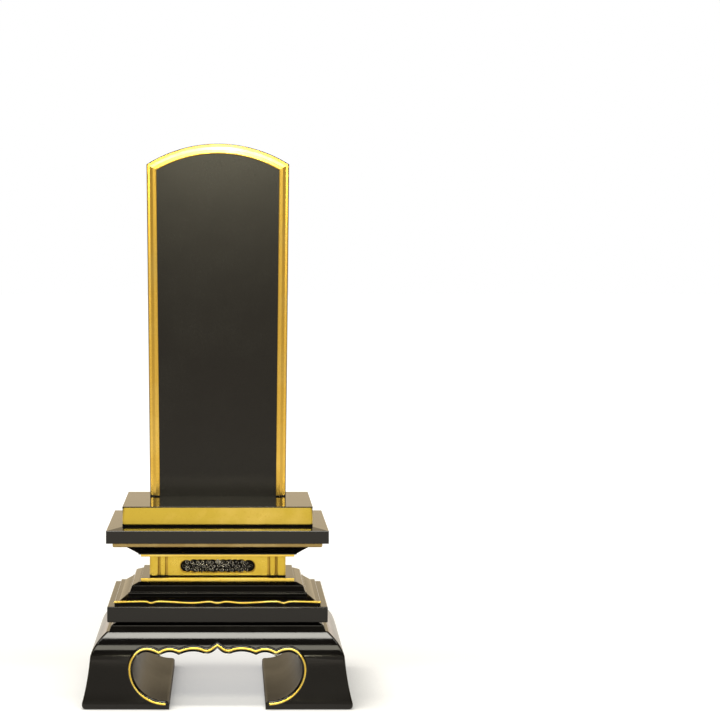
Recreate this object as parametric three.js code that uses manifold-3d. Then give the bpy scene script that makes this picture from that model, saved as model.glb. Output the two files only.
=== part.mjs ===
// A lacquered and gilt memorial tablet: an arched board in a gold frame that stands by its
// tenon in a stepped pedestal on cat legs. Millimetres, +Z up, the front looks along -Y,
// and the origin is the middle of the pedestal's footprint on the surface it stands on.
import * as THREE from 'three';
import { mergeVertices } from 'three/addons/utils/BufferGeometryUtils.js';
import Module from 'manifold-3d';

const wasm = await Module();
wasm.setup();

// Pedestal outline. Every tier is set in from it by the same amount on all four sides.
const baseWidth = 100;
const baseDepth = 71;

// Heights of the tiers, from the surface upwards
const baseHeight = 27.1;
const neckHeight = 3.6;
const lowerSlabThickness = 5.9;
const skirtHeight = 3.5;
const shoulderHeight = 3.95;
const lowerGiltBoardThickness = 1.15;
const waistHeight = 8.2;
const upperGiltBoardThickness = 0.95;
const flareHeight = 4.2;
const filletBoardThickness = 1.75;
const upperSlabThickness = 4.9;
const stepFootHeight = 1.6;
const stepBlockHeight = 5.8;
const stepTopThickness = 0.75;

// How far each tier is set in from the pedestal outline
const baseTopSetIn = 9.6;
const neckTopSetIn = 12.6;
const lowerSlabSetIn = 8.9;
const skirtFootSetIn = 11.4;
const skirtTopSetIn = 16.15;
const shoulderFootSetIn = 16.2;
const giltBoardSetIn = 20.95;
const waistSideSetIn = 23.3;
const waistFrontSetIn = 24.2;
const flareFootSetIn = 18.8;
const flareTopSetIn = 15.2;
const filletBoardSetIn = 10.9;
const upperSlabSetIn = 8.6;
const stepSetIn = 14.35;

// Cat-leg base: rounded foot, flared sides and a round shoulder under the neck
const baseCornerRadius = 2;
const footRoundingWidth = 1.1;
const footRoundingHeight = 1.65;
const footTopHeight = 2.2;
const flareSetIn = 2.9;
const flareCurveSetIn = 2.05;
const baseShoulderHeight = 8.2;
const shoulderCurveSetIn = 4.1;
const shoulderCurveDrop = 2.3;

// Opening between the legs: toes, round hollows and the cusped line of the apron
const toeTipFromMiddle = 17.8;
const toeThickness = 2.7;
const toeRounding = 1.2;
const toeRun = 1.3;
const hollowFromMiddle = 31.4;
const hollowHeight = 12.1;
const upperHollowWidth = 5;
const upperHollowHeight = 6;

// Apron line from the hollow in to the middle, as distances from the middle and as heights
// over the top of the hollow. A lobe's bulge is how far its curve is pulled up.
const outerCuspFromMiddle = 21.7;
const outerCuspDrop = 1.8;
const outerLobeBulge = 1.4;
const innerCuspFromMiddle = 14.3;
const innerCuspDrop = 1.45;
const innerLobeBulge = 2.9;
const apronSagFromMiddle = 6;
const apronSagDrop = 0.1;
const apronSagBulge = -1.5;
const peakRise = 1.8;

// Raised bead that follows the opening on the front of the base
const beadWidth = 1.2;
const beadFromEdge = 0.6;
const beadProud = 0.45;

// Mouldings
const neckPlinthHeight = 0.9;
const neckRoundHeight = 1.7;
const skirtLedgeHeight = 1.2;
const skirtLedgeSlope = 0.05;
const shoulderPlinthHeight = 0.9;
const shoulderRoundWidth = 3.6;
const shoulderFilletHeight = 0.25;
const flarePlinthHeight = 1.2;

// Wavy gilt strip at the foot of the lower mouldings. The wave lists places by their
// distance from the middle, then by their distance from the end, with their heights.
const waveStripHeight = 0.85;
const waveStripDepth = 1.7;
const waveStripLift = 0.65;
const waveFromMiddle = [[0, -0.5], [3.4, 0.3], [9.7, -0.35]];
const waveFromEnd = [[17.2, 0.35], [13.8, -0.35], [10.8, 0.35], [0, 0]];

// Waist: gilt panel with a carved inset between ribs and corner blocks
const waistGiltDepth = 1.8;
const cornerBlockWidth = 3.35;
const ribWidth = 2.35;
const ribGap = 0.4;
const ribSetBack = 0.3;
const panelSetBack = 0.6;
const panelSideGap = 0.75;
const insetMarginSide = 4.5;
const insetMarginBelow = 1.45;
const insetMarginAbove = 1.85;
const insetLobeWidth = 2.4;
const insetNotchFromLobe = 1.45;
const insetNotch = 0.45;
const insetPointWidth = 0.9;
const insetPointRise = 0.7;
const insetGap = 0.3;
const insetSetBack = 0.35;

// Gilt moulding along the front of the step
const stepMouldingDepth = 1.8;
const stepMouldingEndInset = 0.45;
const stepMouldingFootInset = 0.25;
const stepMouldingFootHeight = 2;
const stepMouldingRoundingHeight = 1.5;
const stepMouldingRoundingWidth = 0.9;

// Tablet: the board with its tenon, the recessed face and the frame on its front
const tabletBottomWidth = 52.9;
const tabletTopWidth = 55.1;
const tabletHeight = 136.75;
const archRise = 7.9;
const boardThickness = 9.7;
const frameThickness = 1.8;
const frameWidth = 3.4;
const frameEdgeInset = 0.45;
const frameEdgeRounding = 0.5;
const grooveWidth = 0.5;
const grooveDepth = 0.35;
const faceThickness = 0.8;
const faceGap = 0.3;
const mitreGap = 0.3;
const tabletFromStepBack = 3.15;
const tenonWidth = 28;
const tenonThickness = 5;
const tenonLength = 7.6;
const tenonRoot = 2;
const tenonClearance = 0.3;

// Fineness of the curves, the least distance kept between points of a line, and how much
// too near its line a point of the bead's edge may come
const arcSegments = 24;
const curveSteps = 7;
const leastPointSpacing = 0.1;
const offsetSlack = 0.03;

// Heights of the joints between tiers, worked out from the thicknesses above
const neckZ = baseHeight;
const lowerSlabZ = neckZ + neckHeight;
const skirtZ = lowerSlabZ + lowerSlabThickness;
const shoulderZ = skirtZ + skirtHeight;
const lowerGiltBoardZ = shoulderZ + shoulderHeight;
const waistZ = lowerGiltBoardZ + lowerGiltBoardThickness;
const upperGiltBoardZ = waistZ + waistHeight;
const flareZ = upperGiltBoardZ + upperGiltBoardThickness;
const filletBoardZ = flareZ + flareHeight;
const upperSlabZ = filletBoardZ + filletBoardThickness;
const stepFootZ = upperSlabZ + upperSlabThickness;
const stepBlockZ = stepFootZ + stepFootHeight;
const stepTopZ = stepBlockZ + stepBlockHeight;
const tabletZ = stepTopZ + stepTopThickness;

// Depths: the front of the pedestal, and the tablet standing near the back of the step
const frontY = -baseDepth / 2;
const boardFrontY = baseDepth / 2 - stepSetIn - tabletFromStepBack - boardThickness;
const tenonCentreY = boardFrontY + boardThickness / 2;

const finishes = {
  blackLacquer: { color: 0x0e0d0f, roughness: 0.12, metalness: 0 },
  tabletLacquer: { color: 0x16151a, roughness: 0.28, metalness: 0 },
  goldLeaf: { color: 0xd9b13f, roughness: 0.34, metalness: 1 },
  brownGilt: { color: 0x8a6a2c, roughness: 0.4, metalness: 0.8 },
  carvedLacquer: { color: 0x3b3d3a, roughness: 0.4, metalness: 0.2 },
};

const memorialTablet = new THREE.Group();

function addPiece(name, geometry, finish) {
  const mesh = new THREE.Mesh(geometry, new THREE.MeshStandardMaterial(finishes[finish]));
  mesh.name = name;
  memorialTablet.add(mesh);
}

// Volume inside a closed mesh, negative when its faces point inwards
function signedVolume(positions, index) {
  const corner = (i) => new THREE.Vector3().fromArray(positions, index[i] * 3);
  let sum = 0;
  for (let i = 0; i < index.length; i += 3) {
    sum += corner(i).dot(corner(i + 1).cross(corner(i + 2)));
  }
  return sum / 6;
}

// A closed solid through rings of equal length. outline is the ring laid flat, and it is
// used to fill the two ends.
function loft(rings, outline) {
  if (THREE.ShapeUtils.isClockWise(outline)) {
    return loft(rings.map((ring) => [...ring].reverse()), [...outline].reverse());
  }
  const count = outline.length;
  const last = (rings.length - 1) * count;
  const index = [];
  for (let start = 0; start < last; start += count) {
    for (let i = 0; i < count; i++) {
      const a = start + i;
      const b = start + ((i + 1) % count);
      index.push(a, b, b + count, a, b + count, a + count);
    }
  }
  for (const [a, b, c] of THREE.ShapeUtils.triangulateShape(outline, [])) {
    index.push(a, c, b, last + a, last + b, last + c);
  }
  const positions = rings.flat().flatMap((point) => [point.x, point.y, point.z]);
  if (signedVolume(positions, index) < 0) index.reverse();
  const geometry = new THREE.BufferGeometry();
  geometry.setAttribute('position', new THREE.Float32BufferAttribute(positions, 3));
  geometry.setIndex(index);
  return geometry;
}

// Set-ins of a tier that stands back by the same amount on every side
function allRound(setIn) {
  return { side: setIn, front: setIn, back: setIn };
}

// Four-sided outline of a tier set in from the pedestal, with round corners if asked
function tierOutline({ side, front, back }, cornerRadius) {
  const x = baseWidth / 2 - side;
  const backY = baseDepth / 2 - back;
  const corners = [[x, backY], [-x, backY], [-x, frontY + front], [x, frontY + front]];
  if (cornerRadius === 0) return corners.map(([cx, cy]) => new THREE.Vector2(cx, cy));
  return corners.flatMap(([cx, cy], quarter) => {
    const start = (quarter * Math.PI) / 2;
    const centreX = cx - Math.sign(cx) * cornerRadius;
    const centreY = cy - Math.sign(cy) * cornerRadius;
    const arc = new THREE.EllipseCurve(
      centreX, centreY, cornerRadius, cornerRadius, start, start + Math.PI / 2);
    return arc.getPoints(4);
  });
}

// A solid through the outlines of a tier. levels lists [set-ins, height] from below.
function tierLoft(levels, cornerRadius = 0) {
  const outlines = levels.map(([setIns]) => tierOutline(setIns, cornerRadius));
  const rings = outlines.map((outline, i) =>
    outline.map((point) => new THREE.Vector3(point.x, point.y, levels[i][1])));
  return loft(rings, outlines[0]);
}

// A moulding that runs round all four sides. profile lists [set-in, height] from below.
function mouldedTier(name, profile, finish) {
  addPiece(name, tierLoft(profile.map(([setIn, z]) => [allRound(setIn), z])), finish);
}

function rectangle(centreX, centreY, width, height) {
  const halfX = width / 2;
  const halfY = height / 2;
  return [[-1, -1], [1, -1], [1, 1], [-1, 1]].map(([signX, signY]) =>
    new THREE.Vector2(centreX + signX * halfX, centreY + signY * halfY));
}

// A flat board of the pedestal with vertical edges and, if asked, the tablet's mortise
function boardTier(name, z, thickness, setIns, finish, mortise = false) {
  const shape = new THREE.Shape(tierOutline(setIns, 0));
  if (mortise) {
    const width = tenonWidth + 2 * tenonClearance;
    const depth = tenonThickness + 2 * tenonClearance;
    shape.holes.push(new THREE.Path(rectangle(0, tenonCentreY, width, depth)));
  }
  const geometry = new THREE.ExtrudeGeometry(shape, { depth: thickness, bevelEnabled: false });
  geometry.translate(0, 0, z);
  addPiece(name, geometry, finish);
}

// Quarter of an ellipse between two [set-in, height] points, level at its start or its end
function quarterRound([setIn0, z0], [setIn1, z1], levelAtStart) {
  const points = [];
  for (let i = 0; i <= curveSteps; i++) {
    const angle = ((i / curveSteps) * Math.PI) / 2;
    const along = levelAtStart ? Math.sin(angle) : 1 - Math.cos(angle);
    const up = levelAtStart ? 1 - Math.cos(angle) : Math.sin(angle);
    points.push([setIn0 + (setIn1 - setIn0) * along, z0 + (z1 - z0) * up]);
  }
  return points;
}

// A shape drawn in the front plane (x, z) and run backwards from y for a depth
function frontExtrusion(shape, y, depth) {
  const geometry = new THREE.ExtrudeGeometry(shape, {
    depth, bevelEnabled: false, curveSegments: arcSegments,
  });
  geometry.rotateX(Math.PI / 2);
  geometry.translate(0, y + depth, 0);
  return geometry;
}

function asSolid(geometry) {
  const bare = geometry.clone();
  bare.deleteAttribute('normal');
  bare.deleteAttribute('uv');
  const merged = mergeVertices(bare);
  return new wasm.Manifold(new wasm.Mesh({
    numProp: 3,
    vertProperties: new Float32Array(merged.attributes.position.array),
    triVerts: new Uint32Array(merged.index.array),
  }));
}

function asGeometry(solid) {
  const mesh = solid.getMesh();
  const geometry = new THREE.BufferGeometry();
  geometry.setAttribute('position', new THREE.BufferAttribute(mesh.vertProperties, 3));
  geometry.setIndex(new THREE.BufferAttribute(mesh.triVerts, 1));
  return geometry;
}

// Section of the base from the foot to the neck, the same on all four sides
function baseProfile() {
  const shoulderFootZ = baseHeight - baseShoulderHeight;
  const flare = new THREE.QuadraticBezierCurve(
    new THREE.Vector2(0, footTopHeight),
    new THREE.Vector2(flareCurveSetIn, shoulderFootZ / 2),
    new THREE.Vector2(flareSetIn, shoulderFootZ));
  const shoulder = new THREE.QuadraticBezierCurve(
    new THREE.Vector2(flareSetIn, shoulderFootZ),
    new THREE.Vector2(shoulderCurveSetIn, baseHeight - shoulderCurveDrop),
    new THREE.Vector2(baseTopSetIn, baseHeight));
  return [
    ...quarterRound([footRoundingWidth, 0], [0, footRoundingHeight], true),
    ...flare.getPoints(curveSteps).map((point) => [point.x, point.y]),
    ...shoulder.getPoints(curveSteps).slice(1).map((point) => [point.x, point.y]),
  ];
}

// Right half of the leg opening, from the toe up and in to the peak in the middle
function halfOpening() {
  const hollowZ = toeThickness + hollowHeight;
  const apronZ = hollowZ + upperHollowHeight;
  const toeTopX = toeTipFromMiddle + toeRun;
  const path = new THREE.Path();
  path.moveTo(toeTipFromMiddle, 0);
  path.lineTo(toeTipFromMiddle, toeThickness - toeRounding);
  path.quadraticCurveTo(toeTipFromMiddle, toeThickness, toeTopX, toeThickness);
  path.absellipse(toeTopX, hollowZ, hollowFromMiddle - toeTopX, hollowHeight,
    -Math.PI / 2, 0, false, 0);
  path.absellipse(hollowFromMiddle - upperHollowWidth, hollowZ, upperHollowWidth,
    upperHollowHeight, 0, Math.PI / 2, false, 0);
  const apronCurves = [
    [0, outerCuspFromMiddle, -outerCuspDrop],
    [outerLobeBulge, innerCuspFromMiddle, -innerCuspDrop],
    [innerLobeBulge, apronSagFromMiddle, -apronSagDrop],
    [apronSagBulge, 0, peakRise],
  ];
  for (const [bulge, endX, endRise] of apronCurves) {
    const controlX = (path.currentPoint.x + endX) / 2;
    path.quadraticCurveTo(controlX, apronZ + bulge, endX, apronZ + endRise);
  }
  const line = path.getPoints(curveSteps);
  return line.filter((point, i) =>
    i === 0 || point.distanceTo(line[i - 1]) > leastPointSpacing);
}

function distanceToLine(point, line) {
  const target = new THREE.Vector3(point.x, point.y, 0);
  const nearest = new THREE.Vector3();
  let least = Infinity;
  for (let i = 1; i < line.length; i++) {
    const start = new THREE.Vector3(line[i - 1].x, line[i - 1].y, 0);
    const end = new THREE.Vector3(line[i].x, line[i].y, 0);
    new THREE.Line3(start, end).closestPointToPoint(target, true, nearest);
    least = Math.min(least, nearest.distanceTo(target));
  }
  return least;
}

// Half of the opening's line moved sideways into the wood. The point in the middle moves
// straight up, and points that would come too near the line at a cusp are left out.
function offsetAway(points, distance) {
  const moved = points.map((point, i) => {
    const before = points[Math.max(i - 1, 0)];
    const after = points[Math.min(i + 1, points.length - 1)];
    const along = after.clone().sub(before).normalize();
    return point.clone().add(new THREE.Vector2(along.y, -along.x).multiplyScalar(distance));
  });
  const peak = points.at(-1).clone();
  peak.y += distance;
  return [...moved.slice(0, -1), peak].filter((point) =>
    distanceToLine(point, points) > distance - offsetSlack);
}

// Both halves of a line that starts on the right, ends in the middle and is mirrored
function mirrored(half) {
  return [...half, ...half.slice(0, -1).reverse().map((point) => point.clone().setX(-point.x))];
}

// Cat-leg block: the moulded block with its raised bead, cut through from front to back.
// The bead is the block moved forwards and kept inside the pedestal outline.
function buildBase() {
  const block = tierLoft(
    baseProfile().map(([setIn, z]) => [allRound(setIn), z]), baseCornerRadius);
  const edge = halfOpening();
  const edgeAboveToe = edge.filter((point) => point.y >= toeThickness);
  const beadBand = new THREE.Shape([
    ...mirrored(offsetAway(edgeAboveToe, beadFromEdge + beadWidth)),
    ...mirrored(offsetAway(edgeAboveToe, beadFromEdge)).reverse(),
  ]);
  const bead = asSolid(block.clone().translate(0, -beadProud, 0))
    .intersect(asSolid(frontExtrusion(beadBand, frontY, baseTopSetIn)));
  const belowFloor = new THREE.Vector2(toeTipFromMiddle, -toeThickness);
  const opening = new THREE.Shape(mirrored([belowFloor, ...edge]));
  const tunnel = frontExtrusion(opening, frontY - baseDepth / 2, baseDepth * 2);
  return asGeometry(asSolid(block).add(bead).subtract(asSolid(tunnel)));
}

addPiece('base_block', buildBase(), 'blackLacquer');

mouldedTier('neck_moulding', [
  [baseTopSetIn, neckZ],
  ...quarterRound([baseTopSetIn, neckZ + neckPlinthHeight],
    [neckTopSetIn, neckZ + neckPlinthHeight + neckRoundHeight], false),
  [neckTopSetIn, lowerSlabZ],
], 'blackLacquer');

boardTier('lower_slab', lowerSlabZ, lowerSlabThickness, allRound(lowerSlabSetIn),
  'blackLacquer');

// Skirt: a ledge round the sides and back, and a sloping face above it. The ledge is cut
// away at the front to seat the wave strip.
const skirtFaceSetIn = skirtFootSetIn + waveStripDepth;
const skirtLedge = { ...allRound(skirtFootSetIn), front: skirtFaceSetIn };
addPiece('skirt_moulding', tierLoft([
  [skirtLedge, skirtZ],
  [skirtLedge, skirtZ + skirtLedgeHeight],
  [allRound(skirtFaceSetIn), skirtZ + skirtLedgeHeight + skirtLedgeSlope],
  [allRound(skirtTopSetIn), shoulderZ],
]), 'blackLacquer');

function buildWaveStrip() {
  const end = baseWidth / 2 - skirtFootSetIn;
  const half = [...waveFromMiddle, ...waveFromEnd.map(([x, height]) => [end - x, height])]
    .map(([x, height]) => new THREE.Vector2(x, height));
  const left = half.slice(1).reverse().map((point) => point.clone().setX(-point.x));
  const wave = new THREE.SplineCurve([...left, ...half]);
  const bottomZ = skirtZ + waveStripLift;
  const lower = wave.getPoints(curveSteps * half.length)
    .map((point) => point.setY(point.y + bottomZ));
  const upper = lower.map((point) => point.clone().setY(point.y + waveStripHeight)).reverse();
  return frontExtrusion(new THREE.Shape([...lower, ...upper]), frontY + skirtFootSetIn,
    waveStripDepth);
}
addPiece('wave_strip', buildWaveStrip(), 'goldLeaf');

mouldedTier('shoulder_moulding', [
  [shoulderFootSetIn, shoulderZ],
  ...quarterRound([shoulderFootSetIn, shoulderZ + shoulderPlinthHeight],
    [shoulderFootSetIn + shoulderRoundWidth, lowerGiltBoardZ - shoulderFilletHeight], false),
  [shoulderFootSetIn + shoulderRoundWidth, lowerGiltBoardZ],
], 'blackLacquer');

boardTier('lower_gilt_board', lowerGiltBoardZ, lowerGiltBoardThickness,
  allRound(giltBoardSetIn), 'goldLeaf');

boardTier('waist_core', waistZ, waistHeight,
  { ...allRound(waistSideSetIn), front: waistFrontSetIn + waistGiltDepth }, 'blackLacquer');

// Gilt blocks on the front of the waist, standing the full height between the gilt boards
const waistGiltHalf = baseWidth / 2 - waistFrontSetIn;
const ribOuter = waistGiltHalf - cornerBlockWidth - ribGap;
const ribInner = ribOuter - ribWidth;
const panelHalf = ribInner - panelSideGap;
const waistMiddleZ = waistZ + waistHeight / 2;

function waistBlock(name, centreX, width, setBack) {
  const shape = new THREE.Shape(rectangle(centreX, waistMiddleZ, width, waistHeight));
  const y = frontY + waistFrontSetIn + setBack;
  addPiece(name, frontExtrusion(shape, y, waistGiltDepth - setBack), 'goldLeaf');
}
for (const [side, sign] of [['left', -1], ['right', 1]]) {
  waistBlock(`waist_corner_${side}`, sign * (waistGiltHalf - cornerBlockWidth / 2),
    cornerBlockWidth, 0);
  waistBlock(`waist_rib_${side}`, sign * (ribOuter - ribWidth / 2), ribWidth, ribSetBack);
}

// Outline of the carved inset: two round lobes, notched where they join the long middle,
// and a small point up in the middle
function insetOutline(shrink) {
  const bottom = waistZ + insetMarginBelow + shrink;
  const top = upperGiltBoardZ - insetMarginAbove - shrink;
  const lobeX = panelHalf - insetMarginSide - shrink - insetLobeWidth;
  const notchX = lobeX - insetNotchFromLobe;
  const path = new THREE.Path();
  path.moveTo(0, bottom);
  path.lineTo(notchX - insetNotch, bottom);
  path.lineTo(notchX, bottom + insetNotch);
  path.quadraticCurveTo(notchX, bottom, lobeX, bottom);
  path.absellipse(lobeX, (bottom + top) / 2, insetLobeWidth, (top - bottom) / 2,
    -Math.PI / 2, Math.PI / 2, false, 0);
  path.quadraticCurveTo(notchX, top, notchX, top - insetNotch);
  path.lineTo(notchX - insetNotch, top);
  path.lineTo(insetPointWidth, top);
  path.quadraticCurveTo(0, top, 0, top + insetPointRise);
  return mirrored(path.getPoints(curveSteps)).slice(0, -1);
}

const panelFrontY = frontY + waistFrontSetIn + panelSetBack;
const panelThickness = waistGiltDepth - panelSetBack;

function buildWaistPanel() {
  const shape = new THREE.Shape(rectangle(0, waistMiddleZ, 2 * panelHalf, waistHeight));
  shape.holes.push(new THREE.Path(insetOutline(0)));
  return frontExtrusion(shape, panelFrontY, panelThickness);
}
addPiece('waist_panel', buildWaistPanel(), 'goldLeaf');

addPiece('waist_carving', frontExtrusion(new THREE.Shape(insetOutline(insetGap)),
  panelFrontY + insetSetBack, panelThickness - insetSetBack), 'carvedLacquer');

boardTier('upper_gilt_board', upperGiltBoardZ, upperGiltBoardThickness,
  allRound(giltBoardSetIn), 'goldLeaf');

mouldedTier('flare_moulding', [
  [flareFootSetIn, flareZ],
  ...quarterRound([flareFootSetIn, flareZ + flarePlinthHeight],
    [flareTopSetIn, filletBoardZ], true),
], 'blackLacquer');

boardTier('fillet_board', filletBoardZ, filletBoardThickness, allRound(filletBoardSetIn),
  'brownGilt');
boardTier('upper_slab', upperSlabZ, upperSlabThickness, allRound(upperSlabSetIn),
  'blackLacquer');

// Step under the tablet: three boards with the mortise through them
boardTier('step_foot', stepFootZ, stepFootHeight, allRound(stepSetIn), 'blackLacquer', true);
boardTier('step_block', stepBlockZ, stepBlockHeight,
  { ...allRound(stepSetIn), front: stepSetIn + stepMouldingDepth }, 'blackLacquer', true);
boardTier('step_top', stepTopZ, stepTopThickness, allRound(stepSetIn), 'blackLacquer', true);

// Gilt moulding on the front of the step, rounded over at its top and its ends
function buildStepMoulding() {
  const back = baseDepth - stepSetIn - stepMouldingDepth;
  const profile = [
    [stepMouldingFootInset, stepBlockZ],
    [0, stepBlockZ + stepMouldingFootHeight],
    ...quarterRound([0, stepTopZ - stepMouldingRoundingHeight],
      [stepMouldingRoundingWidth, stepTopZ], false),
  ];
  return tierLoft(profile.map(([inset, z]) => [{
    side: stepSetIn + stepMouldingEndInset + inset, front: stepSetIn + inset, back,
  }, z]));
}
addPiece('step_moulding', buildStepMoulding(), 'goldLeaf');

// Tablet outline: tapered sides under a circular arch
const halfBottom = tabletBottomWidth / 2;
const halfTop = tabletTopWidth / 2;
const archRadius = (halfTop ** 2 + archRise ** 2) / (2 * archRise);
const archCentreZ = tabletZ + tabletHeight - archRadius;
const sideTopZ = tabletZ + tabletHeight - archRise;

// Distance of the tapered side from the middle at a height, moved in by an inset
function sideX(z, inset) {
  return halfBottom + ((halfTop - halfBottom) * (z - tabletZ)) / (sideTopZ - tabletZ) - inset;
}

// Where the side and the arch meet, both moved in by the same inset. The height is found
// by going back and forth between the two lines, which are almost at right angles.
function archCorner(inset) {
  let z = sideTopZ;
  for (let pass = 0; pass < 6; pass++) {
    z = archCentreZ + Math.sqrt((archRadius - inset) ** 2 - sideX(z, inset) ** 2);
  }
  return new THREE.Vector2(sideX(z, inset), z);
}

function archAngle(inset) {
  const corner = archCorner(inset);
  return Math.atan2(corner.x, corner.y - archCentreZ);
}

function tabletShape(inset) {
  const angle = archAngle(inset);
  const shape = new THREE.Shape();
  shape.moveTo(-sideX(tabletZ, inset), tabletZ);
  shape.lineTo(sideX(tabletZ, inset), tabletZ);
  shape.absarc(0, archCentreZ, archRadius - inset, Math.PI / 2 - angle, Math.PI / 2 + angle);
  return shape;
}

function buildTabletBoard() {
  const board = frontExtrusion(tabletShape(0), boardFrontY, boardThickness);
  const tenon = new THREE.BoxGeometry(tenonWidth, tenonThickness, tenonLength + tenonRoot);
  tenon.translate(0, tenonCentreY, tabletZ + (tenonRoot - tenonLength) / 2);
  return asGeometry(asSolid(board).add(asSolid(tenon)));
}
addPiece('tablet_board', buildTabletBoard(), 'tabletLacquer');

const faceInset = frameEdgeInset + frameWidth + faceGap;
addPiece('tablet_face', frontExtrusion(tabletShape(faceInset), boardFrontY - faceThickness,
  faceThickness), 'tabletLacquer');

// Section of the frame: distance in from its outer edge, and height above the board
const grooveStart = (frameWidth - grooveWidth) / 2;
const frameSection = [
  [0, 0],
  [0, frameThickness - frameEdgeRounding],
  [frameEdgeRounding, frameThickness],
  [grooveStart, frameThickness],
  [grooveStart + grooveWidth / 2, frameThickness - grooveDepth],
  [grooveStart + grooveWidth, frameThickness],
  [frameWidth - frameEdgeRounding, frameThickness],
  [frameWidth, frameThickness - frameEdgeRounding],
  [frameWidth, 0],
].map(([across, height]) => new THREE.Vector2(across, height));

function buildStile(sign) {
  const ring = (heightAt) => frameSection.map((point) => {
    const inset = frameEdgeInset + point.x;
    const z = heightAt(inset);
    return new THREE.Vector3(sign * sideX(z, inset), boardFrontY - point.y, z);
  });
  const bottom = ring(() => tabletZ);
  const top = ring((inset) => archCorner(inset).y - mitreGap);
  return loft([bottom, top], frameSection);
}
addPiece('tablet_stile_left', buildStile(-1), 'goldLeaf');
addPiece('tablet_stile_right', buildStile(1), 'goldLeaf');

function buildArch() {
  const rings = [];
  for (let i = 0; i <= arcSegments; i++) {
    const along = (2 * i) / arcSegments - 1;
    rings.push(frameSection.map((point) => {
      const inset = frameEdgeInset + point.x;
      const radius = archRadius - inset;
      const angle = along * archAngle(inset);
      return new THREE.Vector3(radius * Math.sin(angle), boardFrontY - point.y,
        archCentreZ + radius * Math.cos(angle));
    }));
  }
  return loft(rings, frameSection);
}
addPiece('tablet_arch', buildArch(), 'goldLeaf');

export default memorialTablet;
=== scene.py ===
from math import cos, sin, tan, atan2, sqrt, pi, radians

import bpy
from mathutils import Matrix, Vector


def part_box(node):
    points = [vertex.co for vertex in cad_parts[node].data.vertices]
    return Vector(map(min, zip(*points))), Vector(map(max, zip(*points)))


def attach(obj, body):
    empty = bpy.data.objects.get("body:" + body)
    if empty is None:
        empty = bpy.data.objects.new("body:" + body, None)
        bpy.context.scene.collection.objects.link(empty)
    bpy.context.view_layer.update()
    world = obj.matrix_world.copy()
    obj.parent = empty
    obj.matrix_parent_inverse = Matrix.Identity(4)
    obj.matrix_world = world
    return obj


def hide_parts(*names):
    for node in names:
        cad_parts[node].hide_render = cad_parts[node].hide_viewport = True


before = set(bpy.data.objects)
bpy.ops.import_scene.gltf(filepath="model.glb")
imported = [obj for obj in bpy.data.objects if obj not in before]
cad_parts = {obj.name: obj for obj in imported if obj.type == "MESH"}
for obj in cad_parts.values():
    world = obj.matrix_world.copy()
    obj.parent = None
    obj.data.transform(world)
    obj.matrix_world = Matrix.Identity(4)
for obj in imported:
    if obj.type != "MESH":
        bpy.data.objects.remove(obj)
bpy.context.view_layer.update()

scene = bpy.context.scene
mm = 0.001
print("frame loaded:", len(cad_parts), "nodes")

# lengths are in mm; waves, hazeAndGlintScale and tone are counted per metre
lacquers = {
    "blackLacquer": {
        "slot": "black_lacquer", "colour": (0.0042, 0.0036, 0.0035),
        "hazeAndGlint": (0.0050, 0.0046, 0.0044), "roughness": 0.07, "hazedAndGlinting": 0.05,
        "waves": 160.0, "waveDepth": 0.012},
    "panelLacquer": {
        "slot": "tablet_lacquer", "colour": (0.0028, 0.0019, 0.0013),
        "hazeAndGlint": (0.0050, 0.0042, 0.0032), "roughness": 0.24, "hazedAndGlinting": 0.03,
        "waves": 90.0, "waveDepth": 0.02, "ior": 1.42},
    # paler, browner copy of the black lacquer for the leg opening's inner walls: painted reflected
    # light
    "innerLacquer": {
        "slot": "black_lacquer", "colour": (0.012, 0.010, 0.009),
        "hazeAndGlint": (0.030, 0.025, 0.022), "roughness": 0.34, "hazedAndGlinting": 0.06,
        "waves": 60.0, "waveDepth": 0.002, "ior": 1.26},
    # duller, darker and less reflective copy of the black lacquer: painted shade on the plinth
    # recessed under the step moulding
    "dullShadedLacquer": {
        "slot": "black_lacquer", "colour": (0.0025, 0.0022, 0.0022),
        "hazeAndGlint": (0.004, 0.004, 0.004), "roughness": 0.5, "hazedAndGlinting": 0.1,
        "waves": 90.0, "waveDepth": 0.01, "ior": 1.18},
    # the scrolls are black lacquer: their grey colour and near-white haze specks are painted
    # highlights and glints
    "carvedLacquer": {
        "slot": "carved_lacquer", "colour": (0.085, 0.080, 0.072),
        "hazeAndGlint": (0.98, 0.97, 0.88), "roughness": 0.10, "hazedAndGlinting": 0.12,
        "waves": 900.0, "waveDepth": 0.02, "hazeAndGlintScale": 620.0, "metallic": 0.75},
    # darker and less reflective copy of the black lacquer for the ground behind the scrolls:
    # painted shade in the recess
    "carvedGround": {
        "slot": "carved_lacquer", "colour": (0.002, 0.002, 0.002),
        "hazeAndGlint": (0.006, 0.006, 0.005), "roughness": 0.5, "hazedAndGlinting": 0.15,
        "waves": 600.0, "waveDepth": 0.03, "ior": 1.2},
}
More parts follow.
